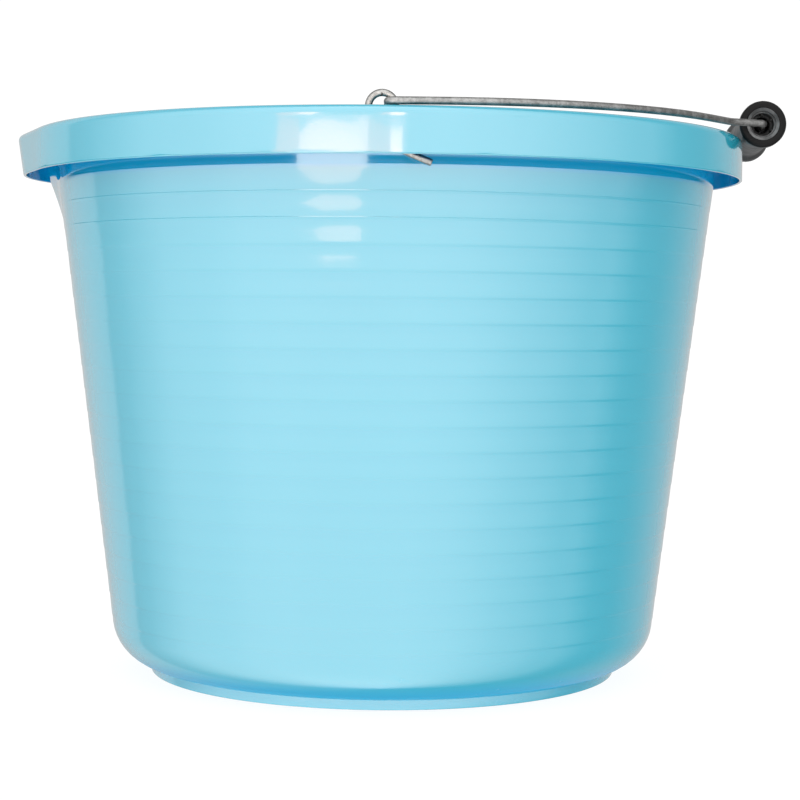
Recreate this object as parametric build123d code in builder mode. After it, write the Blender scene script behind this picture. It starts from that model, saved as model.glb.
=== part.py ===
"""Feed bucket: a moulded tub with a pouring spout, two wire eyes, a swinging wire bail and a loose hand grip.

Frame: millimetres, +Z up, origin at the centre of the base on the plane that the foot ring stands on.
The spout points to -X, the bail rests on the rim towards +X, and the two eyes stand at -Y and +Y.
"""

from build123d import *
from math import atan2, cos, degrees, radians, sin, tan
import os

os.makedirs("parts", exist_ok=True)

# --- Tub: wall and base -------------------------------------------------------------------
HEIGHT = 248.0
WALL = 2.5
FLOOR = 2.6
FOOT_HEIGHT = 4.0
FOOT_RADIUS = 108.9
FOOT_WIDTH = 3.0
WALL_TAPER = 0.12375
WALL_RADIUS_AT_MID = 144.0
MID_HEIGHT = 159.6
BASE_CORNER = 21.4

# Horizontal moulded steps: the wall above each one is a little wider than the wall below it.
STEP_COUNT = 19
STEP_PITCH = 10.49
TOP_STEP_HEIGHT = 215.1
STEP_DEPTH = 0.5
STEP_RISE = 0.6

# --- Tub: rolled rim ----------------------------------------------------------------------
RIM_RADIUS = 165.0
RIM_SKIRT_BOTTOM = 228.9
RIM_SKIRT_WALL = 2.5
RIM_FLANGE = 3.0
RIM_ROUND = 3.0
MOUTH_ROUND = 1.0

# --- Tub: spout ---------------------------------------------------------------------------
SPOUT_RIM_TOP = 172.5
SPOUT_RIM_BOTTOM = 169.0
SPOUT_RIM_HALF_ANGLE = 21.0
RAMP_BOTTOM = 193.0
RAMP_TOP_REACH = 166.0
RAMP_TOP_HALF_ANGLE = 23.8
RAMP_BOTTOM_HALF_ANGLE = 4.0
RAMP_BOTTOM_RISE = 0.1
RAMP_ROOT = 0.4

# --- Wire eyes and the bosses that hold them ----------------------------------------------
EYE_WIRE = 2.9
EYE_ARCH = 5.3
EYE_ARCH_HEIGHT = 248.4
EYE_OFFSET = 157.6
EYE_BEND = 2.4
EYE_HOLE = 3.0
CLINCH_REACH = 19.5
CLINCH_DROOP = 24.0
CLINCH_HEIGHT = 231.9
HIDDEN_CLINCH_REACH = 15.0
HIDDEN_CLINCH_HEIGHT = 231.1
BOSS_LENGTH = 19.0
BOSS_INNER = 153.2
BOSS_OUTER = 163.6
BOSS_BOTTOM = 233.6

# --- Bail and grip ------------------------------------------------------------------------
BAIL_WIRE = 3.15
PIVOT_X = 1.4
PIVOT_Z = 249.8
BAIL_SHOULDER = 162.3
HOOK_OFFSET = 147.0
HOOK_DROP = 9.5
HOOK_BEND = 3.2
# Corners of the bail in its own plane: distance from the pivot axis, then from the middle.
BOW_CORNER = (94.5, 144.0)
BOW_BEND = 190.0
NEAR_ELBOW = (151.0, 56.5)
FAR_ELBOW = (151.0, 60.0)
ELBOW_BEND = 9.0
GRIP_SHOULDER = 46.0
SHOULDER_BEND = 6.0
GRIP_X = 172.5
GRIP_Z = 254.5
GRIP_SKEW = 0.083
GRIP_RADIUS = 10.4
GRIP_LENGTH = 89.0
GRIP_END_ROUND = 1.8
GRIP_BORE = 2.0
RECESS_MOUTH = 7.2
RECESS_RADIUS = 5.7
RECESS_DEPTH = 8.0
RECESS_LIP = 1.4
RIB_COUNT = 6
RIB_HEIGHT = 2.4
RIB_WIDTH = 1.1


def wall_radius(z):
    """Mean outer radius of the tub's wall at a height."""
    return WALL_RADIUS_AT_MID + WALL_TAPER * (z - MID_HEIGHT)


def stepped_profile(inset, floor, top):
    """Half section of the tub's solid, closed on the axis, with the steps of the wall."""
    points = [(0, floor), (wall_radius(floor) - inset, floor)]
    for step in reversed(range(STEP_COUNT)):
        z = TOP_STEP_HEIGHT - step * STEP_PITCH
        radius = wall_radius(z) - inset
        points.append((radius - STEP_DEPTH / 2, z - STEP_RISE / 2))
        points.append((radius + STEP_DEPTH / 2, z + STEP_RISE / 2))
    points.append((wall_radius(top) - inset, top))
    points.append((0, top))
    return points


def stepped_section(inset, floor, top, corner):
    """Sketch of the half section, with its base corner rounded."""
    with BuildSketch(Plane.XZ) as profile:
        with BuildLine():
            Polyline(*stepped_profile(inset, floor, top), close=True)
        make_face()
        base_corner = profile.vertices().group_by(Axis.Y)[0].sort_by(Axis.X)[-1]
        fillet(base_corner, radius=corner)
    return profile.sketch


def nose_points(base_radius, reach, half_angle):
    """Root, tangent and tip points of a blunt nose that runs off a circle towards -X."""
    turn = radians(half_angle)
    nose_radius = (base_radius - reach * cos(turn)) / (1 - cos(turn))
    centre = nose_radius - reach
    root = (-base_radius * cos(turn), base_radius * sin(turn))
    shoulder = (centre - nose_radius * cos(turn), nose_radius * sin(turn))
    return root, shoulder, (-reach, 0)


def rim_outline(z, radius, reach):
    """Sketch of the whole rim seen from above: a circle with the spout's nose on it."""
    root, shoulder, tip = nose_points(radius, reach, SPOUT_RIM_HALF_ANGLE)
    with BuildSketch(Plane.XY.offset(z)) as outline:
        with BuildLine():
            ThreePointArc((root[0], -root[1]), (radius, 0), root)
            Line(root, shoulder)
            ThreePointArc(shoulder, tip, (shoulder[0], -shoulder[1]))
            Line((shoulder[0], -shoulder[1]), (root[0], -root[1]))
        make_face()
    return outline.sketch


def ramp_section(z, radius, reach, half_angle):
    """Sketch of the spout's ramp at one height: the nose alone, closed across its root."""
    root, shoulder, tip = nose_points(radius, reach, half_angle)
    with BuildSketch(Plane.XY.offset(z)) as section:
        with BuildLine():
            Line(root, shoulder)
            ThreePointArc(shoulder, tip, (shoulder[0], -shoulder[1]))
            Line((shoulder[0], -shoulder[1]), (root[0], -root[1]))
            Line((root[0], -root[1]), root)
        make_face()
    return section.sketch


def rim_reach(z):
    """How far the spout's rim reaches from the axis at a height."""
    rise = (z - RIM_SKIRT_BOTTOM) / (HEIGHT - RIM_SKIRT_BOTTOM)
    return SPOUT_RIM_BOTTOM + rise * (SPOUT_RIM_TOP - SPOUT_RIM_BOTTOM)


def ramp_sections(inset, top):
    """Lower and upper sections of the spout's ramp."""
    slope = (RAMP_TOP_REACH - wall_radius(RAMP_BOTTOM)) / (HEIGHT - RAMP_BOTTOM)
    low_radius = wall_radius(RAMP_BOTTOM) - inset
    top_radius = wall_radius(top) - RAMP_ROOT - inset
    top_reach = RAMP_TOP_REACH + slope * (top - HEIGHT) - inset
    low = ramp_section(RAMP_BOTTOM, low_radius, low_radius + RAMP_BOTTOM_RISE, RAMP_BOTTOM_HALF_ANGLE)
    high = ramp_section(top, top_radius, top_reach, RAMP_TOP_HALF_ANGLE)
    return [low, high]


# --- Tub ----------------------------------------------------------------------------------
with BuildPart() as bucket_tub:
    # Rim cap: flange and skirt in one, with a rounded upper edge.
    rim_foot = rim_outline(RIM_SKIRT_BOTTOM, RIM_RADIUS, SPOUT_RIM_BOTTOM)
    rim_top = rim_outline(HEIGHT, RIM_RADIUS, SPOUT_RIM_TOP)
    loft([rim_foot, rim_top], ruled=True)
    fillet(bucket_tub.edges().group_by(Axis.Z)[-1], radius=RIM_ROUND)

    # Open channel under the flange, between the skirt and the wall.
    channel_top = HEIGHT - RIM_FLANGE
    channel_radius = RIM_RADIUS - RIM_SKIRT_WALL
    channel_foot = rim_outline(RIM_SKIRT_BOTTOM, channel_radius, SPOUT_RIM_BOTTOM - RIM_SKIRT_WALL)
    channel_roof = rim_outline(channel_top, channel_radius, rim_reach(channel_top) - RIM_SKIRT_WALL)
    loft([channel_foot, channel_roof], ruled=True, mode=Mode.SUBTRACT)

    # Stepped wall and base, with the spout's ramp on the outside.
    revolve(stepped_section(0, FOOT_HEIGHT, HEIGHT, BASE_CORNER), axis=Axis.Z)
    loft(ramp_sections(0, HEIGHT), ruled=True)

    # Bosses that fill the channel where the wire eyes pass through the flange.
    boss_width = BOSS_OUTER - BOSS_INNER
    boss_middle = (BOSS_OUTER + BOSS_INNER) / 2
    with BuildSketch(Plane.XY.offset(BOSS_BOTTOM)):
        with Locations((0, -boss_middle), (0, boss_middle)):
            Rectangle(BOSS_LENGTH, boss_width)
    extrude(amount=channel_top - BOSS_BOTTOM + RIM_FLANGE / 2)

    # Inside of the tub and of the spout.
    inside = stepped_section(WALL, FOOT_HEIGHT + FLOOR, HEIGHT, BASE_CORNER - WALL)
    revolve(inside, axis=Axis.Z, mode=Mode.SUBTRACT)
    loft(ramp_sections(WALL, HEIGHT), ruled=True, mode=Mode.SUBTRACT)
    flange_face = bucket_tub.faces().sort_by(Axis.Z)[-1]
    mouth = flange_face.inner_wires().sort_by(SortBy.LENGTH)[-1]
    fillet(mouth.edges(), radius=MOUTH_ROUND)

    # Foot ring under the base.
    with BuildSketch(Plane.XY):
        Circle(FOOT_RADIUS)
        Circle(FOOT_RADIUS - FOOT_WIDTH, mode=Mode.SUBTRACT)
    extrude(amount=FOOT_HEIGHT + FLOOR / 2)

    # Holes for the legs of the two eyes.
    with BuildSketch(Plane.XY.offset(HEIGHT)):
        with GridLocations(2 * EYE_ARCH, 2 * EYE_OFFSET, 2, 2):
            Circle(EYE_HOLE / 2)
    extrude(amount=BOSS_BOTTOM - HEIGHT, mode=Mode.SUBTRACT)

bucket_tub.part.label = "bucket_tub"
export_step(bucket_tub.part, "parts/bucket_tub.step")


# --- Wire eyes ----------------------------------------------------------------------------
def make_eye(plane):
    """One staple, bent from wire: an arch on the flange, two legs and two clinched tails."""
    tail_run = CLINCH_REACH - EYE_ARCH
    tail_drop = tail_run * tan(radians(CLINCH_DROOP))
    with BuildPart() as eye:
        with BuildLine(plane) as route:
            FilletPolyline(
                (-HIDDEN_CLINCH_REACH, HIDDEN_CLINCH_HEIGHT),
                (-EYE_ARCH, HIDDEN_CLINCH_HEIGHT),
                (-EYE_ARCH, EYE_ARCH_HEIGHT),
                radius=EYE_BEND,
            )
            ThreePointArc(
                (-EYE_ARCH, EYE_ARCH_HEIGHT),
                (0, EYE_ARCH_HEIGHT + EYE_ARCH),
                (EYE_ARCH, EYE_ARCH_HEIGHT),
            )
            FilletPolyline(
                (EYE_ARCH, EYE_ARCH_HEIGHT),
                (EYE_ARCH, CLINCH_HEIGHT),
                (CLINCH_REACH, CLINCH_HEIGHT - tail_drop),
                radius=EYE_BEND,
            )
        eye_path = route.wires()[0]
        with BuildSketch(Plane(origin=eye_path @ 0, z_dir=eye_path % 0)):
            Circle(EYE_WIRE / 2)
        sweep(path=eye_path)
    return eye


front_eye = make_eye(Plane.XZ.offset(EYE_OFFSET))
front_eye.part.label = "front_eye"
export_step(front_eye.part, "parts/front_eye.step")

rear_eye = make_eye(Plane.XZ.offset(-EYE_OFFSET))
rear_eye.part.label = "rear_eye"
export_step(rear_eye.part, "parts/rear_eye.step")

# --- Bail ---------------------------------------------------------------------------------
# The bail lies in a plane through the pivot axis. Local x runs from that axis to the grip.
bail_tilt = atan2(GRIP_Z - PIVOT_Z, GRIP_X - PIVOT_X)
bail_reach = (GRIP_X - PIVOT_X) / cos(bail_tilt)
bail_plane = Plane(
    origin=(PIVOT_X, 0, PIVOT_Z),
    x_dir=(cos(bail_tilt), 0, sin(bail_tilt)),
    z_dir=(-sin(bail_tilt), 0, cos(bail_tilt)),
)
grip_shift = GRIP_SKEW * GRIP_SHOULDER

near_side = [
    (0, -HOOK_OFFSET, -HOOK_DROP),
    (0, -HOOK_OFFSET, 0),
    (0, -BAIL_SHOULDER, 0),
    (BOW_CORNER[0], -BOW_CORNER[1], 0),
    (NEAR_ELBOW[0], -NEAR_ELBOW[1], 0),
    (bail_reach - grip_shift, -GRIP_SHOULDER, 0),
]
far_side = [
    (bail_reach + grip_shift, GRIP_SHOULDER, 0),
    (FAR_ELBOW[0], FAR_ELBOW[1], 0),
    (BOW_CORNER[0], BOW_CORNER[1], 0),
    (0, BAIL_SHOULDER, 0),
    (0, HOOK_OFFSET, 0),
    (0, HOOK_OFFSET, -HOOK_DROP),
]
near_bends = [HOOK_BEND, HOOK_BEND, BOW_BEND, ELBOW_BEND, SHOULDER_BEND]

with BuildPart() as bail:
    with BuildLine(bail_plane) as bail_route:
        FilletPolyline(*near_side, *far_side, radius=near_bends + near_bends[::-1])
    bail_path = bail_route.wires()[0]
    with BuildSketch(Plane(origin=bail_path @ 0, z_dir=bail_path % 0)):
        Circle(BAIL_WIRE / 2)
    sweep(path=bail_path)

bail.part.label = "bail"
export_step(bail.part, "parts/bail.step")

# --- Grip ---------------------------------------------------------------------------------
# The bail's middle runs slightly askew, and the grip turns on it.
grip_axis = bail_plane.from_local_coords(Vector(grip_shift, GRIP_SHOULDER, 0)) - Vector(PIVOT_X, 0, PIVOT_Z)
grip_plane = Plane(
    origin=(GRIP_X, 0, GRIP_Z),
    x_dir=(-sin(bail_tilt), 0, cos(bail_tilt)),
    z_dir=grip_axis,
)

with BuildPart() as grip:
    with BuildSketch(grip_plane):
        Circle(GRIP_RADIUS)
    extrude(amount=GRIP_LENGTH / 2, both=True)
    fillet(grip.edges(), radius=GRIP_END_ROUND)
    for end in (grip_plane.offset(GRIP_LENGTH / 2), grip_plane.offset(-GRIP_LENGTH / 2)):
        inward = -1 if end.origin.Y > 0 else 1
        with BuildSketch(end):
            Circle(RECESS_RADIUS)
        extrude(amount=inward * RECESS_DEPTH, mode=Mode.SUBTRACT)
        with BuildSketch(end):
            Circle(RECESS_MOUTH)
        with BuildSketch(end.offset(inward * RECESS_LIP)):
            Circle(RECESS_RADIUS)
        loft(mode=Mode.SUBTRACT)
        with BuildSketch(end.offset(inward * RECESS_DEPTH)):
            with PolarLocations(RECESS_RADIUS / 2, RIB_COUNT):
                Rectangle(RECESS_RADIUS + RIB_WIDTH, RIB_WIDTH)
        extrude(amount=-inward * RIB_HEIGHT)
    with BuildSketch(grip_plane):
        Circle(GRIP_BORE)
    extrude(amount=GRIP_LENGTH / 2, both=True, mode=Mode.SUBTRACT)

grip.part.label = "grip"
export_step(grip.part, "parts/grip.step")

# --- Figures for the record ---------------------------------------------------------------
print("bail tilt deg", round(degrees(bail_tilt), 3), "reach", round(bail_reach, 3))
print("grip axis", grip_axis.normalized())
for name, made in (("tub", bucket_tub), ("bail", bail), ("grip", grip), ("eye", front_eye)):
    box = made.part.bounding_box()
    print(name, len(made.part.solids()), round(made.part.volume), box.min, box.max)
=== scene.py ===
"""Feed bucket: the looks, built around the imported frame.

Metres, +Z up, in the frame of the CAD: the spout points to -X, the bail rests towards +X,
and the two wire eyes stand on the rim at -Y and +Y.
"""
from math import acos, atan2, cos, degrees, pi, radians, sin, sqrt, tan

import bpy
from mathutils import Matrix, Vector


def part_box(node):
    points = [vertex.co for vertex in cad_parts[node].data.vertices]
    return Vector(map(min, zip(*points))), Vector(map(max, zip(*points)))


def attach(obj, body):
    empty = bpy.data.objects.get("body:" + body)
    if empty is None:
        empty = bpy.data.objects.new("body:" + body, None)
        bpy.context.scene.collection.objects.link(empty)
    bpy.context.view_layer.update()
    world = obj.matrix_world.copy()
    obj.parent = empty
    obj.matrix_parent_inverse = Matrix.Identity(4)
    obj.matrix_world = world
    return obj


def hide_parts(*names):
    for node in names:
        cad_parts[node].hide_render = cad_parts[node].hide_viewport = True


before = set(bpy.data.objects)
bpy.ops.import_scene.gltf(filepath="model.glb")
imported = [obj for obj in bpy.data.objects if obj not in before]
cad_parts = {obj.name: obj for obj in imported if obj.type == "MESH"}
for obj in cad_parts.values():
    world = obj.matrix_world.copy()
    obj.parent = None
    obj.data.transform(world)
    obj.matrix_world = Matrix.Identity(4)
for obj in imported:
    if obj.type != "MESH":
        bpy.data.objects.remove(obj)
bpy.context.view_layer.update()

MM = 0.001

# --- The tub: its box is read from the frame, the other sizes follow the CAD or the photo --
_, tub_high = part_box("bucket_tub")
HEIGHT = tub_high[2]
RIM_RADIUS = tub_high[1]
WALL = 2.5 * MM
FLOOR_TOP = 6.6 * MM
FOOT_HEIGHT = 4.0 * MM
FOOT_RADIUS = 108.9 * MM
FOOT_WIDTH = 3.0 * MM
FOOT_EDGE = 0.5 * MM
# Rows up the foot's outer face, as shares of the way to the base corner.
FOOT_FACE_SHARES = (0.45, 0.90, 0.97)
WALL_TAPER = 0.12375
WALL_LEAN = atan2(WALL_TAPER, 1)
WALL_RADIUS_AT_MID = 143.7 * MM
MID_HEIGHT = 159.6 * MM
BASE_CORNER = 21.4 * MM
# Extra rows where the base corner begins, and where its even rows take over, in degrees.
CORNER_FIRST_ROWS = (0.0, 0.4, 1.5)
CORNER_EVEN_ROWS = 5
GATE_RADIUS = 2.2 * MM
GATE_HEIGHT = 0.7 * MM
# Section of the gate mark: (share of its radius, share of its height below the base).
GATE_SECTION = ((0.8, 1.0), (1.0, 0.75), (1.1, 0.0), (1.3, 0.0))

RING_COUNT = 19
RING_PITCH = 10.49 * MM
TOP_RING = 215.1 * MM
# Section of one ring: (out from the mean wall, up from the ring's middle), in millimetres.
OUTER_RING = (
    (-0.078, -0.62), (-0.066, -0.38), (0.0, 0.0), (0.066, 0.38), (0.078, 0.62), (0.062, 1.50),
)
TOP_OUTER_RING = (
    (-0.078, -0.62), (-0.066, -0.38), (0.0, 0.0), (0.062, 0.32), (0.066, 0.44),
    (0.050, 0.54), (0.034, 0.64), (0.038, 0.76),
)
TOP_RING_COUNT = 2
INNER_RING = ((-0.22, -0.45), (0.0, 0.0), (0.22, 0.45))
BAND_CROWN = 0.01 * MM
BAND_ROWS = 1

SKIRT_BOTTOM = 228.9 * MM
SKIRT_WALL = 1.3 * MM
FLANGE = 3.0 * MM
RIM_ROUND = 3.0 * MM
SKIRT_EDGE = 0.3 * MM
# Rows up the skirt's outer face, as shares of the way from its lower edge to the top round.
SKIRT_SHARES = (0.02, 0.10, 0.25, 0.42, 0.58, 0.75, 0.90, 0.98)
MOUTH_ROUND = 1.0 * MM
# Rows that keep the flange flat stand this far from the rounds on both sides of it.
FLANGE_MARGIN = 0.4 * MM
MOUTH_ROWS = (246.4, 240.0, 233.0, 226.0, 219.0)
WALL_TOP_ROWS = (219.0, 223.5)
COLLAR_START = 225.8 * MM
COLLAR_OFFSET = 0.10 * MM
COLLAR_LEAN = 0.035
# Rows of the collar in millimetres: (up from its start, how much of that is upright).
COLLAR_ROWS = ((0.0, 0.0), (0.4, 0.2), (0.8, 0.6), (1.4, 1.2), (3.4, 3.2))
CHANNEL_FILLET = 0.8 * MM

SPOUT_TOP_REACH = 172.5 * MM
SPOUT_BOTTOM_REACH = 169.0 * MM
SPOUT_HALF_ANGLE = radians(21.0)
RAMP_BOTTOM = 193.0 * MM
RAMP_TOP_REACH = 166.0 * MM
RAMP_ROOT = 0.4 * MM
RAMP_BOTTOM_HALF_ANGLE = radians(4.0)
RAMP_TOP_HALF_ANGLE = radians(23.8)
RAMP_BLEND = 1.2 * MM
# Beyond its edges the ramp falls away by this share of the arc, and is left out past a margin.
RAMP_FALL = 0.3
RAMP_MARGIN = 0.2

BOSS_HALF_LENGTH = 9.5 * MM
BOSS_BOTTOM = 233.6 * MM
# Half the angle between the paired columns at each side face of a boss.
BOSS_PAIR = 0.001

COLUMNS = 300
COLUMN_CROWDING = 0.32
RIPPLE = 0.018 * MM
RIPPLE_SLOW_WAVES = 23
RIPPLE_FAST_WAVES = 61
RIPPLE_FAST_SHARE = 0.35

# --- Wire eyes ----------------------------------------------------------------------------
EYE_RADIUS = 1.45 * MM
EYE_OFFSET = 157.6 * MM
# Corners of the centre line as (x, z), and the radii it is bent to, in millimetres.
EYE_ROUTE = (
    (-15.8, 231.1), (-6.1, 231.1), (-6.1, 253.1), (4.5, 253.1), (4.5, 232.0), (18.9, 225.9),
)
EYE_BENDS = (2.4, 5.3, 5.3, 2.4)

# --- Bail and grip ------------------------------------------------------------------------
PIVOT = Vector((1.4, 0.0, 249.8)) * MM
BAIL_SAG = Vector((0.0, 0.0, -0.2)) * MM
GRIP_SAG = Vector((0.0, 0.0, -1.0)) * MM
GRIP_CENTRE = Vector((172.5, 0.0, 254.5)) * MM
BAIL_RADIUS = 1.575 * MM
# The bail's centre line in its own plane, in millimetres; corners are (ahead, to one side).
SHOULDER = 162.3
HOOK_OFFSET = 147.0
HOOK_DROP = 9.5
GRIP_SHOULDER = 46.0
GRIP_SKEW = 0.083
BOW_CORNER = (94.5, 144.0)
NEAR_ELBOW = (151.0, 56.5)
FAR_ELBOW = (151.0, 60.0)
BAIL_BENDS = (3.2, 3.2, 190.0, 9.0, 6.0)

GRIP_RADIUS = 10.4 * MM
GRIP_HALF_LENGTH = 44.5 * MM
GRIP_END_ROUND = 1.8 * MM
GRIP_END_MARGIN = 0.6 * MM
GRIP_WAIST = 8.5 * MM
GRIP_WAIST_ROWS = 5
GRIP_COLLAR_START = 31.0 * MM
GRIP_COLLAR_END = 38.0 * MM
GRIP_COLLAR_ROWS = 6
GRIP_COLUMNS = 72
GRIP_BORE = 3.5 * MM
BORE_EDGE = 0.4 * MM
BORE_SHOWN = 4.0 * MM
RECESS_MOUTH = 7.2 * MM
RECESS_RADIUS = 5.7 * MM
RECESS_DEPTH = 8.0 * MM
RECESS_LIP = 1.4 * MM
RECESS_LIP_EDGE = 0.35 * MM
RECESS_LIP_EASE = 0.2 * MM
RECESS_FILLET = 0.5 * MM
LEDGE_RADIUS = 5.1 * MM
LEDGE_DEPTH = 3.2 * MM
LEDGE_EDGE = 0.3 * MM
RIB_COUNT = 6
RIB_HEIGHT = 2.4 * MM
RIB_WIDTH = 1.1 * MM
RIB_SUNK = 0.4 * MM
RIB_SHOULDER = 0.2 * MM
RIB_TOP_SHARE = 0.6
RIB_OVERLAP = 0.5 * MM
PARTING_LINE = 0.10 * MM
PARTING_HALF_WIDTH = 0.035
# Columns on either side of a mould line, in radians from it.
PARTING_COLUMNS = (0.0, 0.02, PARTING_HALF_WIDTH, 0.05)
# Margins by which the grip's faces with painted highlight and with painted shade are told from
# their neighbours.
HIGHLIGHT_LEDGE_GAP = 0.1 * MM
HIGHLIGHT_LEDGE_MARGIN = 0.2 * MM
SHADED_FACE_MARGIN = 0.3 * MM


# --- Mesh tools ---------------------------------------------------------------------------
def new_piece(name, verts, faces, material, body, slot, *nodes):
    """A smooth mesh piece that rides on a body and stands for CAD nodes."""
    mesh = bpy.data.meshes.new(name)
    mesh.from_pydata([tuple(v) for v in verts], [], faces)
    mesh.validate()
    mesh.polygons.foreach_set("use_smooth", [True] * len(mesh.polygons))
    mesh.materials.append(material)
    piece = bpy.data.objects.new(name, mesh)
    bpy.context.scene.collection.objects.link(piece)
    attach(piece, body)
    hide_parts(*nodes)
    return piece


def skin(rings):
    """Vertices of closed rings, stored one after another, and the faces between the rings."""
    count = len(rings[0])
    verts = [v for ring in rings for v in ring]
    faces = []
    for row in range(len(rings) - 1):
        for i in range(count):
            j = (i + 1) % count
            a, b = row * count, (row + 1) * count
            faces.append((a + i, a + j, b + j, b + i))
    return verts, faces


def cap(verts, faces, start, count, centre, flip):
    """Closes the ring of vertices that begins at start with a fan to a centre."""
    verts.append(centre)
    hub = len(verts) - 1
    for i in range(count):
        j = (i + 1) % count
        faces.append((start + i, start + j, hub) if flip else (start + j, start + i, hub))


def rounded_route(points, bends, turn=radians(9)):
    """A route of straight runs with each inner corner bent to its radius."""
    points = [Vector(p) for p in points]
    route = [points[0]]
    for before, corner, after, radius in zip(points, points[1:], points[2:], bends):
        back = (before - corner).normalized()
        ahead = (after - corner).normalized()
        half = back.angle(ahead) / 2
        centre = corner + (back + ahead).normalized() * radius / sin(half)
        first = corner + back * radius / tan(half) - centre
        last = corner + ahead * radius / tan(half) - centre
        sweep = first.angle(last)
        steps = max(2, round(sweep / turn))
        for k in range(steps + 1):
            a = sweep * k / steps
            arm = (first * sin(sweep - a) + last * sin(a)) / sin(sweep)
            route.append(centre + arm)
    route.append(points[-1])
    return route


def wire(route, radius, sides=28, chamfer=0.35 * MM):
    """Vertices and faces of a round wire along a route, with cut and chamfered ends."""
    runs = [(b - a).normalized() for a, b in zip(route, route[1:])]
    tangents = [(a + b).normalized() for a, b in zip(runs, runs[1:])]
    tangents = [runs[0]] + tangents + [runs[-1]]
    side = tangents[0].orthogonal().normalized()
    stations = [(route[0], tangents[0], radius - chamfer)]
    stations.append((route[0] + tangents[0] * chamfer, tangents[0], radius))
    stations += [(p, t, radius) for p, t in zip(route[1:-1], tangents[1:-1])]
    stations.append((route[-1] - tangents[-1] * chamfer, tangents[-1], radius))
    stations.append((route[-1], tangents[-1], radius - chamfer))
    rings = []
    for place, tangent, size in stations:
        side = (side - tangent * side.dot(tangent)).normalized()
        other = tangent.cross(side)
        turns = [2 * pi * k / sides for k in range(sides)]
        rings.append([place + (side * cos(a) + other * sin(a)) * size for a in turns])
    verts, faces = skin(rings)
    cap(verts, faces, 0, sides, route[0], flip=False)
    cap(verts, faces, (len(rings) - 1) * sides, sides, route[-1], flip=True)
    return verts, faces


# --- Tub ----------------------------------------------------------------------------------
def wall_radius(z):
    """Mean outer radius of the wall at a height."""
    return WALL_RADIUS_AT_MID + WALL_TAPER * (z - MID_HEIGHT)


def teardrop(angle, base, reach, half_angle):
    """Radius, at an angle from -X, of a circle with a blunt nose that runs off it at a tangent."""
    nose = (base - reach * cos(half_angle)) / (1 - cos(half_angle))
    centre = reach - nose
    shoulder = atan2(nose * sin(half_angle), centre + nose * cos(half_angle))
    if angle < shoulder:
        return centre * cos(angle) + sqrt(nose**2 - (centre * sin(angle))**2)
    if angle < half_angle:
        return base / cos(half_angle - angle)
    return base


def ramp_radius(angle, z, inset):
    """Radius of the spout's ramp, which falls away inside the wall beyond its own edges."""
    rise = (z - RAMP_BOTTOM) / (HEIGHT - RAMP_BOTTOM)
    widening = RAMP_TOP_HALF_ANGLE - RAMP_BOTTOM_HALF_ANGLE
    half_angle = RAMP_BOTTOM_HALF_ANGLE + max(rise, 0) * widening
    bottom_reach = wall_radius(RAMP_BOTTOM)
    reach = bottom_reach + rise * (RAMP_TOP_REACH - bottom_reach)
    base = wall_radius(z) - RAMP_ROOT * rise
    fall = max(angle - half_angle, 0) * base * RAMP_FALL
    return teardrop(angle, base, reach, half_angle) - inset - fall


def blended(a, b, width):
    """The larger of two radii, with a soft crossing where they are close."""
    near = max(width - abs(a - b), 0) / width
    return max(a, b) + near**2 * width / 4


def wall_at(angle, z, offset, inset):
    """Wall radius with the spout's ramp blended into it."""
    wall = wall_radius(z) + offset - inset
    if z < RAMP_BOTTOM - 3 * RAMP_BLEND or angle > RAMP_TOP_HALF_ANGLE + RAMP_MARGIN:
        return wall
    return blended(wall, ramp_radius(angle, z, inset), RAMP_BLEND)


def rim_at(angle, z, inset):
    """Outline of the rim at a height, set in from its outer face."""
    rise = (z - SKIRT_BOTTOM) / (HEIGHT - SKIRT_BOTTOM)
    reach = SPOUT_BOTTOM_REACH + rise * (SPOUT_TOP_REACH - SPOUT_BOTTOM_REACH)
    return teardrop(angle, RIM_RADIUS - inset, reach - inset, SPOUT_HALF_ANGLE)


def ripple(azimuth, z):
    """Slight unevenness of a moulded wall: a slow wave round it and a weaker, quicker one."""
    slow = sin(RIPPLE_SLOW_WAVES * azimuth + 2.0 * sin(z / (9 * MM)))
    fast = sin(RIPPLE_FAST_WAVES * azimuth + z / (4 * MM)) * RIPPLE_FAST_SHARE
    return RIPPLE * (slow + fast)


def arc(count, start, stop):
    """Angles of an arc's points, in radians, from start to stop in degrees."""
    return [radians(start + (stop - start) * k / count) for k in range(count + 1)]


def base_centre(inset):
    """Distance from the axis of the centre of the base corner's arc."""
    height = FOOT_HEIGHT + BASE_CORNER
    return wall_radius(height) - inset - (BASE_CORNER - inset) / cos(WALL_LEAN)


def underside_rows():
    """Gate mark, flat base, foot ring and outer base corner."""
    inner = FOOT_RADIUS - FOOT_WIDTH
    edge = FOOT_EDGE
    rows = [(GATE_RADIUS * out, FOOT_HEIGHT - GATE_HEIGHT * down) for out, down in GATE_SECTION]
    rows += [(reach, FOOT_HEIGHT) for reach in (inner * 0.5, inner - 2 * edge, inner - edge)]
    rows.append((inner, FOOT_HEIGHT - edge))
    rows += [(inner + edge * (1 - cos(a)), edge * (1 - sin(a))) for a in arc(3, 0, 90)]
    rows += [(FOOT_RADIUS - edge * (1 - sin(a)), edge * (1 - cos(a))) for a in arc(3, 0, 90)]
    centre = base_centre(0)
    start = -degrees(acos((FOOT_RADIUS - centre) / BASE_CORNER))
    junction = FOOT_HEIGHT + BASE_CORNER * (1 + sin(radians(start)))
    rows += [(FOOT_RADIUS, junction * share) for share in FOOT_FACE_SHARES]
    angles = [radians(start + extra) for extra in CORNER_FIRST_ROWS]
    for a in angles + arc(9, start + CORNER_EVEN_ROWS, -degrees(WALL_LEAN)):
        rows.append((centre + BASE_CORNER * cos(a), FOOT_HEIGHT + BASE_CORNER * (1 + sin(a))))
    return rows


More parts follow.
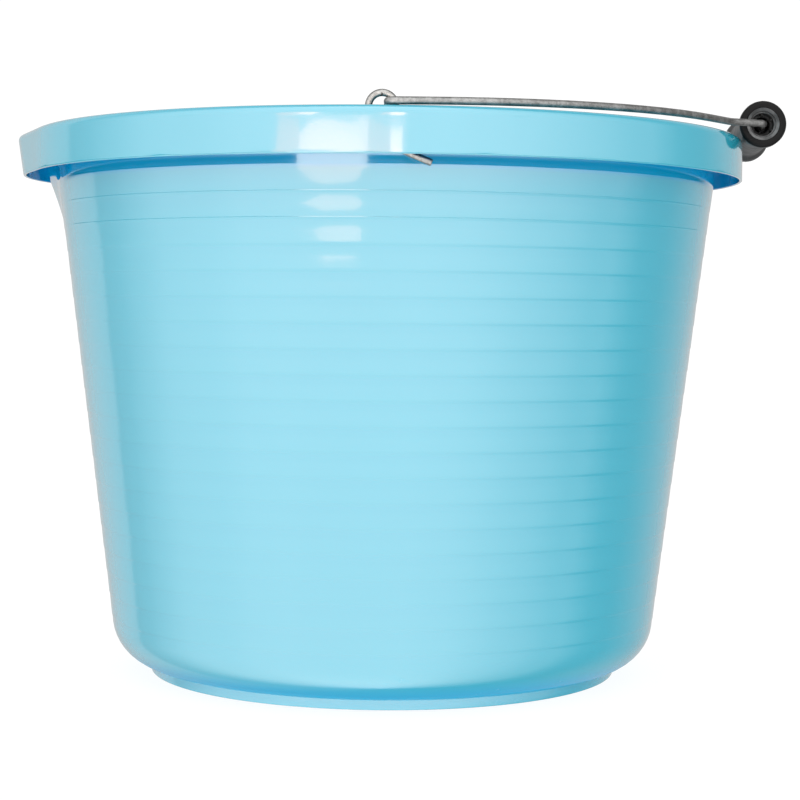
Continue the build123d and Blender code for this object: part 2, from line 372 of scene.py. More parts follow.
def ring_rows(ring, top_ring, crown):
    """Wall rows over every ring, bottom to top, as (offset from the mean wall, height)."""
    rows = []
    first = ring[0]
    last = ring[-1]
    for k in reversed(range(RING_COUNT)):
        middle = TOP_RING - k * RING_PITCH
        section = top_ring if k < TOP_RING_COUNT else ring
        rows += [(out * MM, middle + up * MM) for out, up in section]
        if k:
            span = RING_PITCH + (first[1] - last[1]) * MM
            for i in range(1, BAND_ROWS + 1):
                t = i / (BAND_ROWS + 1)
                out = last[0] + (first[0] - last[0]) * t
                rows.append((out * MM + 4 * crown * t * (1 - t), middle + last[1] * MM + t * span))
    return rows


def boss_ceiling(azimuth):
    """Height of the channel's ceiling: lower over the two bosses that hold the eyes."""
    across = abs(cos(azimuth)) * (RIM_RADIUS - SKIRT_WALL)
    return BOSS_BOTTOM if across < BOSS_HALF_LENGTH else HEIGHT - FLANGE


def collar_rows(azimuth, angle):
    """Outer wall above the top ring, then the channel under the rim and the skirt's inner face."""
    ceiling = boss_ceiling(azimuth)
    rows = [(wall_at(angle, z * MM, COLLAR_OFFSET, 0), z * MM) for z in WALL_TOP_ROWS]
    start = wall_at(angle, COLLAR_START, COLLAR_OFFSET, 0)
    slope = (wall_at(angle, COLLAR_START, 0, 0) - wall_at(angle, COLLAR_START - MM, 0, 0)) / MM
    upright = slope - WALL_TAPER + COLLAR_LEAN
    for up, share in COLLAR_ROWS:
        out = slope * (up - share) + upright * share
        rows.append((start + out * MM, COLLAR_START + up * MM))
    top = ceiling - CHANNEL_FILLET
    root = rows[-1][0] + (top - rows[-1][1]) * slope
    for a in arc(3, 0, 90):
        rows.append((root + CHANNEL_FILLET * (1 - cos(a)), top + CHANNEL_FILLET * sin(a)))
    face = rim_at(angle, ceiling, SKIRT_WALL)
    for a in arc(3, 0, 90):
        rows.append((face - CHANNEL_FILLET * (1 - sin(a)), top + CHANNEL_FILLET * cos(a)))
    low = SKIRT_BOTTOM + SKIRT_EDGE
    rows.append((rim_at(angle, low + SKIRT_EDGE, SKIRT_WALL), low + SKIRT_EDGE))
    for a in arc(3, 0, 90):
        inset = SKIRT_WALL - SKIRT_EDGE * (1 - cos(a))
        rows.append((rim_at(angle, SKIRT_BOTTOM, inset), low - SKIRT_EDGE * sin(a)))
    return rows


def skirt_rows(azimuth, angle):
    """Skirt's lower edge and outer face, the rounded top edge and the flange."""
    rows = []
    low = SKIRT_BOTTOM + SKIRT_EDGE
    for a in arc(3, 90, 0):
        z = low - SKIRT_EDGE * sin(a)
        rows.append((rim_at(angle, SKIRT_BOTTOM, SKIRT_EDGE * (1 - cos(a))), z))
    shoulder = HEIGHT - RIM_ROUND
    for share in SKIRT_SHARES:
        z = low + (shoulder - low) * share
        rows.append((rim_at(angle, z, 0) + ripple(azimuth, z), z))
    for a in arc(7, 0, 90):
        z = shoulder + RIM_ROUND * sin(a)
        rows.append((rim_at(angle, z, RIM_ROUND * (1 - cos(a))), z))
    rows.append((rim_at(angle, HEIGHT, RIM_ROUND + FLANGE_MARGIN), HEIGHT))
    mouth = wall_at(angle, HEIGHT, 0, WALL)
    rows.append((mouth + MOUTH_ROUND + FLANGE_MARGIN, HEIGHT))
    for a in arc(4, 0, 90):
        rows.append((mouth + MOUTH_ROUND * (1 - sin(a)), HEIGHT - MOUTH_ROUND * (1 - cos(a))))
    return rows


def inner_rows(angle):
    """Inside of the wall, top to bottom, then the inner base corner and the floor."""
    rows = [(wall_at(angle, z * MM, 0, WALL), z * MM) for z in MOUTH_ROWS]
    for offset, z in reversed(ring_rows(INNER_RING, INNER_RING, 0)):
        rows.append((wall_at(angle, z, offset, WALL), z))
    centre = base_centre(WALL)
    corner = BASE_CORNER - WALL
    for a in arc(8, -degrees(WALL_LEAN), -90):
        rows.append((centre + corner * cos(a), FLOOR_TOP + corner * (1 + sin(a))))
    rows += [(centre * 0.96, FLOOR_TOP), (centre * 0.5, FLOOR_TOP), (GATE_RADIUS, FLOOR_TOP)]
    return rows


def column_azimuths():
    """Azimuths of the columns: closer at the spout, with pairs at the bosses' side faces."""
    azimuths = []
    for k in range(COLUMNS):
        turn = 2 * pi * k / COLUMNS
        azimuths.append(pi + turn - COLUMN_CROWDING * sin(turn))
    edge = BOSS_HALF_LENGTH / (RIM_RADIUS - SKIRT_WALL)
    for side in (pi / 2, 3 * pi / 2):
        for turn in (-edge - BOSS_PAIR, -edge + BOSS_PAIR, edge - BOSS_PAIR, edge + BOSS_PAIR):
            azimuths.append((side + turn - pi) % (2 * pi) + pi)
    return sorted(azimuths)


def tub_column(azimuth):
    """Every row of the tub's section at one azimuth, as (radius, height)."""
    angle = pi - abs((azimuth + pi) % (2 * pi) - pi)
    rows = underside_rows()
    for offset, z in ring_rows(OUTER_RING, TOP_OUTER_RING, BAND_CROWN):
        rows.append((wall_at(angle, z, offset, 0) + ripple(azimuth, z), z))
    rows += collar_rows(azimuth, angle)
    rows += skirt_rows(azimuth, angle)
    rows += inner_rows(angle)
    return rows


def make_tub(material, under_rim):
    """The moulded tub: one closed section carried round the axis, with the spout worked in."""
    azimuths = column_azimuths()
    columns = [tub_column(azimuth) for azimuth in azimuths]
    rings = []
    for row in range(len(columns[0])):
        ring = []
        for azimuth, column in zip(azimuths, columns):
            radius, z = column[row]
            ring.append(Vector((radius * cos(azimuth), radius * sin(azimuth), z)))
        rings.append(ring)
    verts, faces = skin(rings)
    count = len(azimuths)
    cap(verts, faces, 0, count, Vector((0, 0, FOOT_HEIGHT - GATE_HEIGHT)), flip=False)
    cap(verts, faces, (len(rings) - 1) * count, count, Vector((0, 0, FLOOR_TOP)), flip=True)
    tub = new_piece("moulded_tub", verts, faces, material, "tub", "tub_plastic", "bucket_tub")
    # The faces of the channel under the rim take the copy of the plastic with the painted shade.
    tub.data.materials.append(under_rim)
    first = len(underside_rows()) + len(ring_rows(OUTER_RING, TOP_OUTER_RING, BAND_CROWN))
    last = first + len(collar_rows(0, pi)) - 1
    for face in tub.data.polygons[first * count:last * count]:
        face.material_index = 1


# --- Eyes, bail and grip ------------------------------------------------------------------
def make_eye(name, y, material, node):
    """One wire staple, clinched under the flange."""
    corners = [Vector((x, y / MM, z)) * MM for x, z in EYE_ROUTE]
    verts, faces = wire(rounded_route(corners, [b * MM for b in EYE_BENDS]), EYE_RADIUS)
    new_piece(name, verts, faces, material, "tub", "eye_wire", node)


def bail_frame():
    """Plane of the bail: local x runs from the pivot to the grip, and y is across the tub."""
    ahead = (GRIP_CENTRE + GRIP_SAG - PIVOT - BAIL_SAG).normalized()
    across = Vector((0, 1, 0))
    up = ahead.cross(across)
    return Matrix((ahead, across, up)).transposed().to_4x4()


def bail_route():
    """The bail's centre line, bent at its hooks, shoulders, elbows and grip."""
    reach = (GRIP_CENTRE - PIVOT).length / MM
    shift = GRIP_SKEW * GRIP_SHOULDER
    corners = [
        (0, -HOOK_OFFSET, -HOOK_DROP), (0, -HOOK_OFFSET, 0), (0, -SHOULDER, 0),
        (BOW_CORNER[0], -BOW_CORNER[1], 0), (NEAR_ELBOW[0], -NEAR_ELBOW[1], 0),
        (reach - shift, -GRIP_SHOULDER, 0), (reach + shift, GRIP_SHOULDER, 0),
        (FAR_ELBOW[0], FAR_ELBOW[1], 0), (BOW_CORNER[0], BOW_CORNER[1], 0),
        (0, SHOULDER, 0), (0, HOOK_OFFSET, 0), (0, HOOK_OFFSET, -HOOK_DROP),
    ]
    bends = [b * MM for b in BAIL_BENDS + BAIL_BENDS[::-1]]
    placed = [PIVOT + BAIL_SAG + bail_frame() @ (Vector(c) * MM) for c in corners]
    return rounded_route(placed, bends, turn=radians(4))


def make_bail(material):
    """The swinging wire bail."""
    verts, faces = wire(bail_route(), BAIL_RADIUS, sides=32)
    new_piece("wire_bail", verts, faces, material, "bail", "bail_wire", "bail")


def grip_half_section():
    """Section of half the grip as (radius, along): waist, collar, rounded end and recess."""
    end = GRIP_HALF_LENGTH
    rows = []
    for k in range(GRIP_WAIST_ROWS + 1):
        rows.append((GRIP_WAIST, GRIP_COLLAR_START * k / GRIP_WAIST_ROWS))
    for k in range(1, GRIP_COLLAR_ROWS + 1):
        rise = (1 - cos(pi * k / GRIP_COLLAR_ROWS)) / 2
        length = GRIP_COLLAR_END - GRIP_COLLAR_START
        along = GRIP_COLLAR_START + length * k / GRIP_COLLAR_ROWS
        rows.append((GRIP_WAIST + (GRIP_RADIUS - GRIP_WAIST) * rise, along))
    rows.append((GRIP_RADIUS, end - GRIP_END_ROUND - GRIP_END_MARGIN))
    for a in arc(6, 0, 90):
        radius = GRIP_RADIUS - GRIP_END_ROUND * (1 - cos(a))
        rows.append((radius, end - GRIP_END_ROUND * (1 - sin(a))))
    return rows + recess_section()


def recess_section():
    """Section of the recess in the grip's end, from its mouth to a short way down the bore."""
    end = GRIP_HALF_LENGTH
    ledge = end - LEDGE_DEPTH
    bottom = end - RECESS_DEPTH
    lip = RECESS_LIP_EDGE
    return [
        (RECESS_MOUTH + 2 * lip, end),
        (RECESS_MOUTH + 0.5 * lip, end),
        (RECESS_MOUTH, end - 0.5 * lip),
        (RECESS_MOUTH - 0.5 * lip, end - lip),
        (RECESS_RADIUS + RECESS_LIP_EASE, end - RECESS_LIP),
        (RECESS_RADIUS, end - RECESS_LIP - LEDGE_EDGE),
        (RECESS_RADIUS, ledge + LEDGE_EDGE),
        (RECESS_RADIUS - LEDGE_EDGE, ledge),
        (LEDGE_RADIUS + LEDGE_EDGE, ledge),
        (LEDGE_RADIUS, ledge - LEDGE_EDGE),
        (LEDGE_RADIUS, bottom + RECESS_FILLET),
        (LEDGE_RADIUS - RECESS_FILLET, bottom),
        (GRIP_BORE + BORE_EDGE, bottom),
        (GRIP_BORE, bottom - BORE_EDGE),
        (GRIP_BORE, bottom - BORE_SHOWN),
    ]


def grip_frame():
    """Axes at the grip's centre, with local z along the bail's middle run."""
    plane = bail_frame()
    axis = (plane @ Vector((GRIP_SKEW, 1, 0))).normalized()
    across = (plane @ Vector((0, 0, 1))).normalized()
    across = (across - axis * across.dot(axis)).normalized()
    return Matrix((across, axis.cross(across), axis)).transposed().to_4x4()


def parting_ridge(turn):
    """Height of the fine mould lines that run along both sides of the grip."""
    return PARTING_LINE * max(0, 1 - abs(sin(turn)) / PARTING_HALF_WIDTH)


def grip_turns():
    """Angles of the grip's columns: evenly spaced, with more beside the mould lines."""
    turns = {round(2 * pi * k / GRIP_COLUMNS, 5) for k in range(GRIP_COLUMNS)}
    for side in (0, pi):
        for offset in PARTING_COLUMNS:
            turns |= {round((side + s * offset) % (2 * pi), 5) for s in (1, -1)}
    return sorted(turns)


def grip_ring(radius, along, turns, place):
    """One ring of the grip, with the mould lines raised where it is on the outside."""
    outside = abs(along) < GRIP_HALF_LENGTH - GRIP_END_ROUND and radius >= GRIP_WAIST
    ring = []
    for turn in turns:
        r = radius + (parting_ridge(turn) if outside else 0)
        ring.append(place @ Vector((r * cos(turn), r * sin(turn), along)))
    return ring


def make_grip(material, wear_and_highlight, shaded_face):
    """The plastic grip: a tube with recessed, ribbed ends and a mould line along each side."""
    half = grip_half_section()
    section = [(radius, -along) for radius, along in reversed(half)] + half[1:]
    turns = grip_turns()
    place = Matrix.Translation(GRIP_CENTRE + GRIP_SAG) @ grip_frame()
    rings = [grip_ring(radius, along, turns, place) for radius, along in section]
    verts, faces = skin(rings)
    count = len(turns)
    last = (len(rings) - 1) * count
    faces += [(last + i, last + (i + 1) % count, (i + 1) % count, i) for i in range(count)]
    for end in (-1, 1):
        for k in range(RIB_COUNT):
            add_rib(verts, faces, place, end, 2 * pi * k / RIB_COUNT)
    grip = new_piece("hand_grip", verts, faces, material, "grip", "grip_plastic", "grip")
    grip.data.materials.append(wear_and_highlight)
    grip.data.materials.append(shaded_face)
    paint_grip_ends(grip)


def paint_grip_ends(grip):
    """Gives the recess's lip and ledge a lighter plastic as a painted highlight, and the end faces
    the darkest one as painted shade.
    """
    centre = GRIP_CENTRE + GRIP_SAG
    axis = grip_frame().col[2].xyz
    lip = GRIP_HALF_LENGTH - RECESS_LIP
    ledge = GRIP_HALF_LENGTH - LEDGE_DEPTH - HIGHLIGHT_LEDGE_MARGIN
    end_face = GRIP_HALF_LENGTH - GRIP_END_ROUND - SHADED_FACE_MARGIN
    for face in grip.data.polygons:
        arm = face.center - centre
        along = abs(arm.dot(axis))
        radius = (arm - axis * arm.dot(axis)).length
        # Painted highlight on the lip and the ledge of the recess, painted shade on the end faces.
        if RECESS_RADIUS < radius < RECESS_MOUTH and along > lip:
            face.material_index = 1
        if LEDGE_RADIUS + HIGHLIGHT_LEDGE_GAP < radius < RECESS_RADIUS and along > ledge:
            face.material_index = 1
        if radius > RECESS_MOUTH and along > end_face:
            face.material_index = 2


def add_rib(verts, faces, place, end, turn):
    """One radial rib on the bottom of a recess, a little rounded on top."""
    bottom = GRIP_HALF_LENGTH - RECESS_DEPTH - RIB_SUNK
    top = bottom + RIB_HEIGHT + RIB_SUNK
    half = RIB_WIDTH / 2
    shoulder = top - RIB_SHOULDER
    outline = [(-half, bottom), (-half, shoulder), (-half * RIB_TOP_SHARE, top),
               (half * RIB_TOP_SHARE, top), (half, shoulder), (half, bottom)]
    start = len(verts)
    for radius in (GRIP_BORE + RIB_OVERLAP, LEDGE_RADIUS + RIB_OVERLAP):
        for across, along in outline:
            x = radius * cos(turn) - across * sin(turn)
            y = radius * sin(turn) + across * cos(turn)
            verts.append(place @ Vector((x, y, end * along)))
    n = len(outline)
    corners = [(start + i, start + (i + 1) % n) for i in range(n)]
    sides = [(here, there, there + n, here + n) for here, there in corners]
    ends = [tuple(start + i for i in reversed(range(n))), tuple(start + n + i for i in range(n))]
    for face in sides + ends:
        faces.append(face if end > 0 else face[::-1])


# --- Materials ----------------------------------------------------------------------------
class Graph:
    """Builds a node tree: an input given as a socket is linked, and any other is set."""

    def __init__(self, owner):
        owner.use_nodes = True
        self.tree = owner.node_tree
        self.tree.nodes.clear()

    def add(self, kind, settings=None, **inputs):
        """A new node, with its settings and its inputs by name (an underscore is a space)."""
        node = self.tree.nodes.new(kind)
        for key, value in (settings or {}).items():
            setattr(node, key, value)
        for key, value in inputs.items():
            self.feed(node, key.replace("_", " "), value)
        return node

    def feed(self, node, key, value):
        socket = node.inputs[int(key) if key.isdigit() else key]
        if isinstance(value, bpy.types.NodeSocket):
            self.tree.links.new(value, socket)
        else:
            socket.default_value = value

    def maths(self, operation, a, b=0.0, c=0.0):
        node = self.add("ShaderNodeMath", {"operation": operation})
        for index, value in enumerate((a, b, c)):
            self.feed(node, str(index), value)
        return node.outputs[0]

    def noise(self, place, scale, detail=3.0, roughness=0.5):
        node = self.add("ShaderNodeTexNoise", Vector=place, Scale=scale, Detail=detail,
                        Roughness=roughness)
        return node.outputs["Fac"]

    def between(self, fac, low, high, to_low=0.0, to_high=1.0):
        """A smooth step from to_low to to_high while fac goes from low to high."""
        node = self.add("ShaderNodeMapRange", {"interpolation_type": "SMOOTHSTEP", "clamp": True},
                        Value=fac, From_Min=low, From_Max=high, To_Min=to_low, To_Max=to_high)
        return node.outputs[0]

    def stretched(self, place, x, y, z):
        node = self.add("ShaderNodeVectorMath", {"operation": "MULTIPLY"})
        self.feed(node, "0", place)
        node.inputs[1].default_value = (x, y, z)
        return node.outputs[0]

    def mixed(self, fac, first, second):
        """A colour between two; sockets 0, 6, 7 and output 2 are the Mix node's colour ones."""
        node = self.add("ShaderNodeMix", {"data_type": "RGBA"})
        for index, value in ((0, fac), (6, first), (7, second)):
            self.feed(node, str(index), value)
        return node.outputs[2]

    def bump(self, height, strength, distance, normal=None):
        node = self.add("ShaderNodeBump", Height=height, Strength=strength, Distance=distance)
        if normal is not None:
            self.feed(node, "Normal", normal)
        return node.outputs["Normal"]


def principled(name):
    """A new material with a Principled shader wired to its output."""
    material = bpy.data.materials.new(name)
    graph = Graph(material)
    shader = graph.add("ShaderNodeBsdfPrincipled")
    output = graph.add("ShaderNodeOutputMaterial")
    graph.tree.links.new(shader.outputs[0], output.inputs["Surface"])
    place = graph.add("ShaderNodeTexCoord").outputs["Object"]
    return material, graph, shader, place


def set_inputs(shader, **values):
    for key, value in values.items():
        shader.inputs[key.replace("_", " ")].default_value = value


SKY_BLUE = ((0.012, 0.42, 0.57, 1), (0.016, 0.445, 0.60, 1))
# Deeper blue painted as shade above the foot and under the rim.
PAINTED_SHADE_BLUE = (0.001, 0.40, 0.68, 1)
# Heights between which the painted shade, a deeper blue, comes in and goes out above the foot,
# and comes in under the rim, in metres.
FOOT_SHADE_IN = (0.0040, 0.0050)
FOOT_SHADE_OUT = (0.0062, 0.0150)
UNDER_RIM_SHADE = (0.2240, 0.2262)
# Share of the reflection taken away by the painted shade above the foot.
FOOT_SHADE_GLOSS_LOSS = 0.92
PLAIN_ROUGHNESS = 0.10
WORN_ROUGHNESS = 0.10
# The lowest part of the wall is rougher, up to this height.
SCUFFED_HEIGHT = 0.03
SCUFFED_ROUGHNESS = 0.25


def tub_plastic(name, under_rim=False):
    """Glossy sky-blue moulded plastic with scuffs and a fine peel, and with painted shade: deeper
    blue and less reflection in a band above the foot, and deeper blue above a height on the faces
    under the rim."""
    material, g, shader, place = principled(name)
    sky = g.mixed(g.noise(place, scale=14.0, detail=4.0), *SKY_BLUE)
    height = g.add("ShaderNodeSeparateXYZ", Vector=place).outputs["Z"]
    foot = g.maths("MULTIPLY", g.between(height, *FOOT_SHADE_IN),
                   g.between(height, *FOOT_SHADE_OUT, to_low=1.0, to_high=0.0))
    # Painted shade: deeper blue above the foot, or on the faces under the rim.
    shaded = g.between(height, *UNDER_RIM_SHADE) if under_rim else foot
    g.feed(shader, "Base Color", g.mixed(shaded, sky, PAINTED_SHADE_BLUE))
    along = g.stretched(place, 90.0, 90.0, 420.0)
    scuff = g.noise(along, scale=1.0, detail=5.0, roughness=0.6)
    handled = g.noise(place, scale=26.0, detail=2.0)
    wear_and_highlight = g.maths("MULTIPLY", g.between(scuff, 0.55, 0.75), g.between(handled, 0.5, 0.72))
    low_down = g.between(height, SCUFFED_HEIGHT, 0.0, to_high=SCUFFED_ROUGHNESS)
    roughness = g.maths("MULTIPLY_ADD", wear_and_highlight, WORN_ROUGHNESS, PLAIN_ROUGHNESS)
    roughness = g.maths("ADD", roughness, g.maths("MULTIPLY", low_down, scuff))
    g.feed(shader, "Roughness", roughness)
    peel = g.noise(place, scale=620.0, detail=2.0)
    sag = g.noise(place, scale=75.0, detail=1.0)
    soft = g.bump(sag, strength=0.10, distance=0.12 * MM)
    g.feed(shader, "Normal", g.bump(peel, strength=0.05, distance=0.04 * MM, normal=soft))
    # The painted shade above the foot also takes away most of the reflection.
    gloss = g.maths("SUBTRACT", 1.0, g.maths("MULTIPLY", foot, FOOT_SHADE_GLOSS_LOSS))
    g.feed(shader, "Specular IOR Level", gloss)
    g.feed(shader, "Coat Weight", gloss)
    set_inputs(shader, IOR=1.5, Coat_Roughness=0.03, Coat_IOR=1.5)
    return material


def wire_metal(name, dark, light, roughness, streak):
    """Zinc-coated steel wire: mottled, with fine drawing lines along it."""
    material, g, shader, place = principled(name)
    grain = g.noise(place, scale=900.0, detail=5.0, roughness=0.65)
    patch = g.noise(place, scale=210.0, detail=3.0)
    tone = g.maths("MULTIPLY_ADD", grain, 0.55, g.maths("MULTIPLY", patch, 0.45))
    g.feed(shader, "Base Color", g.mixed(g.between(tone, 0.35, 0.68), dark, light))
    smoother, rougher = roughness - 0.07, roughness + 0.10
    g.feed(shader, "Roughness", g.between(patch, 0.3, 0.7, smoother, rougher))
    pits = g.noise(place, scale=1700.0, detail=3.0)
    lines = g.noise(g.stretched(place, *streak), scale=1.0, detail=2.0)
    drawn = g.bump(lines, strength=0.2, distance=0.08 * MM)
    g.feed(shader, "Normal", g.bump(pits, strength=0.25, distance=0.10 * MM, normal=drawn))
    set_inputs(shader, Metallic=1.0)
    return material


def grip_plastic(name, dark, light, roughness, gloss=0.22):
    """Grey-black moulded plastic, in patches from dark to light, with a fine spark texture."""
    material, g, shader, place = principled(name)
    grain = g.noise(place, scale=2400.0, detail=3.0)
    rub = g.noise(place, scale=110.0, detail=4.0)
    shade = g.mixed(g.between(rub, 0.35, 0.7), (dark, dark, dark, 1), (light, light, light, 1))
    g.feed(shader, "Base Color", shade)
    g.feed(shader, "Roughness", g.between(rub, 0.3, 0.7, roughness, roughness + 0.12))
    g.feed(shader, "Normal", g.bump(grain, strength=0.25, distance=0.06 * MM))
    set_inputs(shader, IOR=1.5, Specular_IOR_Level=gloss)
    return material


# --- Studio -------------------------------------------------------------------------------
# Radiance that reflections show round the horizon, in degrees from the front (-Y) towards +X.
AROUND = (
    (-180, 0.60), (-150, 0.60), (-134, 0.77), (-118.5, 0.95), (-116, 0.70), (-105, 0.98),
    (-91, 1.60), (-80, 2.15), (-70, 2.45), (-58, 2.70), (-45, 3.05), (-30, 3.20),
    (19, 3.20), (35, 3.00), (45, 2.75), (60, 2.25), (69, 1.95), (82, 1.40), (90, 1.22),
    (95, 0.95), (103, 0.60), (110, 0.48), (117, 0.43), (135, 0.52), (180, 0.60),
)
BRIGHTEST = 3.2
# Below the horizon the pattern turns by this many degrees per unit of depth, to a limit.
PATTERN_TILT = 27.0
TILT_LIMIT = -0.4
# Heights of the dark gap's two edges, on the unit sphere: behind the bucket, and how much they
# change towards the front. Each edge is softened over its own margin.
TABLE_EDGE = 0.061
TABLE_REACH = -0.148
TABLE_SOFTNESS = 0.006
BANK_EDGE = 0.075
BANK_REACH = -0.045
BANK_SOFTNESS = 0.004
# The gap fades out straight behind the bucket, and elsewhere takes away this much of the light.
GAP_FADE = (-0.90, -0.70)
GAP_DEPTH = 0.995
# The lowest part of the surroundings is a little dimmer.
LOW_FADE = (-0.36, -0.10)
LOW_LEVEL = 0.90


def make_world():
    """The studio that only reflections show: table below, light bank above, dark gap between."""
    world = bpy.data.worlds.new("studio")
    bpy.context.scene.world = world
    g = Graph(world)
    axes = g.add("ShaderNodeSeparateXYZ", Vector=g.add("ShaderNodeTexCoord").outputs["Generated"])
    x, y, z = axes.outputs
    ahead = g.maths("MULTIPLY", y, -1.0)
    azimuth = g.maths("MULTIPLY_ADD", g.maths("ARCTAN2", x, ahead), 0.5 / pi, 0.5)
    low = g.maths("MULTIPLY", g.maths("MAXIMUM", z, TILT_LIMIT), -PATTERN_TILT / 360)
    ramp = g.add("ShaderNodeValToRGB", Fac=g.maths("ADD", azimuth, g.maths("MAXIMUM", low, 0.0)))
    stops = ramp.color_ramp.elements
    for degree, _ in AROUND[1:-1]:
        stops.new((degree + 180) / 360)
    for stop, (_, value) in zip(stops, AROUND):
        level = value / BRIGHTEST
        stop.color = (level, level, level, 1)
    facing = g.maths("POWER", g.maths("MULTIPLY_ADD", ahead, 0.5, 0.5), 0.5)
    table = g.maths("MULTIPLY_ADD", facing, TABLE_REACH, TABLE_EDGE)
    bank = g.maths("MULTIPLY_ADD", facing, BANK_REACH, BANK_EDGE)
    above = g.between(g.maths("SUBTRACT", z, table), -TABLE_SOFTNESS, TABLE_SOFTNESS)
    below = g.between(g.maths("SUBTRACT", z, bank), -BANK_SOFTNESS, BANK_SOFTNESS,
                      to_low=1.0, to_high=0.0)
    gap = g.maths("MULTIPLY", above, below)
    gap = g.maths("MULTIPLY", gap, g.between(ahead, *GAP_FADE, to_high=GAP_DEPTH))
    lit = g.maths("SUBTRACT", 1.0, gap)
    level = g.maths("MULTIPLY", lit, g.between(z, *LOW_FADE, to_low=LOW_LEVEL))
    level = g.maths("MULTIPLY", g.maths("MULTIPLY", ramp.outputs[0], level), BRIGHTEST)
    background = g.add("ShaderNodeBackground", Color=(1, 1, 1, 1), Strength=level)
    output = g.add("ShaderNodeOutputWorld")
    g.tree.links.new(background.outputs[0], output.inputs["Surface"])
    world.cycles.sampling_method = "NONE"
    world.cycles_visibility.diffuse = False


def glowing(name, radiance, tint=(1, 1, 1, 1)):
    """A material that gives a plain even light."""
    material = bpy.data.materials.new(name)
    g = Graph(material)
    light = g.add("ShaderNodeEmission", Color=tint, Strength=radiance)
    output = g.add("ShaderNodeOutputMaterial")
    g.tree.links.new(light.outputs[0], output.inputs["Surface"])
    return material


def stage_mesh(name, verts, faces, material, smooth=False):
    """A mesh that belongs to the studio and not to the bucket."""
    mesh = bpy.data.meshes.new(name)
    mesh.from_pydata([tuple(v) for v in verts], [], faces)
    mesh.polygons.foreach_set("use_smooth", [smooth] * len(mesh.polygons))
    mesh.materials.append(material)
    prop = bpy.data.objects.new(name, mesh)
    bpy.context.scene.collection.objects.link(prop)
    return prop


WINDOW_DISTANCE = 1.3
WINDOW_EYE = Vector((0, -RIM_RADIUS, HEIGHT * 0.93))
WARM = (1.0, 0.66, 0.56, 1)
LESS_WARM = (1.0, 0.80, 0.72, 1)
NEAR_WHITE = (1.0, 1.0, 0.95, 1)
# Light cards that the rim and the wall below it reflect: name, radiance, tint, and corners as
# (azimuth, elevation) in degrees seen from the front of the rim.
WINDOWS = (
    ("window_high", 7.6, WARM, ((-27.5, 2.0), (-27.5, 5.3), (-24, 6.0), (-5.2, 5.95), (-5.2, 2.0))),
    ("window_edge", 5.2, WARM, ((-36, 2.0), (-34, 6.0), (-27.5, 6.1), (-27.5, 2.0))),
    ("window_side", 5.2, WARM, ((-5.2, 2.0), (-5.2, 5.95), (1.8, 5.85), (1.8, 2.0))),
    ("window_strip", 9.0, WARM, ((1.8, 2.0), (1.8, 5.8), (5.3, 5.8), (5.8, 2.0))),
    ("window_low", 5.0, LESS_WARM,
     ((-22, -12.3), (-31, -9.5), (-31, -7.0), (-6, -7.0), (-6, -9.5), (-11, -12.3))),
    ("window_under", 4.2, NEAR_WHITE, ((-31, -7.0), (-31, 2.0), (-6, 2.0), (-6, -7.0))),
)


def window(name, radiance, tint, corners):
    """One light card in front of the bucket, which only reflections show."""
    verts = []
    for azimuth, elevation in corners:
        a, e = radians(azimuth), radians(elevation)
        ray = Vector((sin(a) * cos(e), -cos(a) * cos(e), sin(e)))
        verts.append(WINDOW_EYE + ray * WINDOW_DISTANCE)
    card = stage_mesh(name, verts, [tuple(range(len(verts)))], glowing(name, radiance, tint))
    card.visible_camera = False
    card.visible_diffuse = False
    card.visible_shadow = False


FLOOR_HALF = 2.5
FLOOR_GREY = (0.12, 0.12, 0.12, 1)
FLOOR_GLOW = 0.92


def make_floor():
    """A pale floor that glows by itself, so that only a faint shadow lies on it."""
    material = bpy.data.materials.new("pale_floor")
    g = Graph(material)
    shader = g.add("ShaderNodeBsdfPrincipled")
    output = g.add("ShaderNodeOutputMaterial")
    g.tree.links.new(shader.outputs[0], output.inputs["Surface"])
    set_inputs(shader, Base_Color=FLOOR_GREY, Roughness=0.9, Specular_IOR_Level=0.0,
               Emission_Color=(1, 1, 1, 1), Emission_Strength=FLOOR_GLOW)
    material.cycles.emission_sampling = "NONE"
    corners = [(x * FLOOR_HALF, y * FLOOR_HALF, 0) for x, y in ((-1, -1), (1, -1), (1, 1), (-1, 1))]
    floor = stage_mesh("floor", corners, [(0, 1, 2, 3)], material)
    floor.visible_glossy = False


# The white bowl's rings as (radius, height), up to the one that closes it.
BOWL_RINGS = ((2.2, -0.001), (2.8, 0.1), (3.2, 0.5), (3.4, 1.2), (3.4, 4.0))
BOWL_SIDES = 64
BOWL_GLOW = 1.05


def make_backdrop():
    """A white bowl round the floor that gives the even light and that no reflection shows."""
    turns = [2 * pi * k / BOWL_SIDES for k in range(BOWL_SIDES)]
    rings = [[Vector((r * cos(t), r * sin(t), z)) for t in turns] for r, z in BOWL_RINGS]
    verts, faces = skin(rings)
    top = Vector((0, 0, BOWL_RINGS[-1][1]))
    cap(verts, faces, (len(rings) - 1) * BOWL_SIDES, BOWL_SIDES, top, flip=True)
    white = glowing("backdrop_white", BOWL_GLOW)
    bowl = stage_mesh("backdrop", verts, faces, white, smooth=True)
    bowl.visible_glossy = False
    bowl.visible_shadow = False


SOFTBOX_SIZE = 2.4
SOFTBOX_POWER = 8
SOFTBOX_PLACE = (-0.2, -0.3, 2.0)


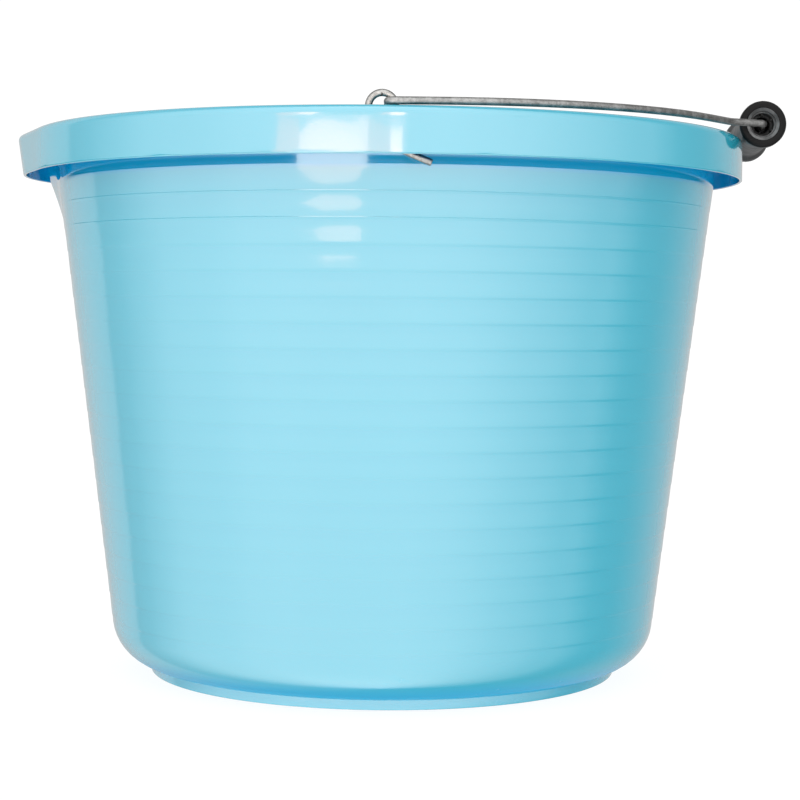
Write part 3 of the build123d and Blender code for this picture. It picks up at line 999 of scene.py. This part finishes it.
def make_softbox():
    """One big overhead softbox, which reflections do not show."""
    lamp = bpy.data.lights.new("overhead", "AREA")
    lamp.shape = "DISK"
    lamp.size = SOFTBOX_SIZE
    lamp.energy = SOFTBOX_POWER
    light = bpy.data.objects.new("overhead", lamp)
    light.location = SOFTBOX_PLACE
    light.visible_camera = False
    light.visible_glossy = False
    bpy.context.scene.collection.objects.link(light)


CAMERA_PLACE = (0.0073, -0.9322, 0.1666)
CAMERA_LENS = 88.74
CAMERA_PITCH = -0.0434
CAMERA_ROLL = 0.0096


def make_camera():
    """The camera at the photograph's viewing angle: a little downwards, with a slight roll."""
    camera = bpy.data.cameras.new("camera")
    camera.lens = CAMERA_LENS
    camera.sensor_width = 36.0
    camera.clip_start = 0.01
    camera.clip_end = 20
    holder = bpy.data.objects.new("camera", camera)
    pitch = Matrix.Rotation(pi / 2 + CAMERA_PITCH, 4, "X")
    roll = Matrix.Rotation(CAMERA_ROLL, 4, "Z")
    holder.matrix_world = Matrix.Translation(CAMERA_PLACE) @ pitch @ roll
    bpy.context.scene.collection.objects.link(holder)
    bpy.context.scene.camera = holder


make_camera()
make_tub(tub_plastic("tub_plastic"), tub_plastic("tub_painted_shade_under_rim", under_rim=True))
zinc = wire_metal("eye_wire", dark=(0.15, 0.147, 0.14, 1), light=(0.30, 0.296, 0.285, 1),
                  roughness=0.28, streak=(300.0, 300.0, 60.0))
make_eye("front_wire_eye", -EYE_OFFSET, zinc, "front_eye")
make_eye("rear_wire_eye", EYE_OFFSET, zinc, "rear_eye")
make_bail(wire_metal("bail_wire", dark=(0.14, 0.14, 0.137, 1), light=(0.29, 0.29, 0.284, 1),
                     roughness=0.44, streak=(60.0, 60.0, 300.0)))
# Lighter grey on the recess lips and ledges is a painted highlight, and the darkest grey on the end
# faces is painted shade.
make_grip(grip_plastic("grip_plastic", dark=0.018, light=0.034, roughness=0.36),
          grip_plastic("grip_lip_highlight", dark=0.08, light=0.30, roughness=0.45),
          grip_plastic("grip_face_shade", dark=0.003, light=0.006, roughness=0.42, gloss=0.10))
make_world()
for card in WINDOWS:
    window(*card)
make_floor()
make_backdrop()
make_softbox()
bpy.context.scene.view_settings.view_transform = "Standard"
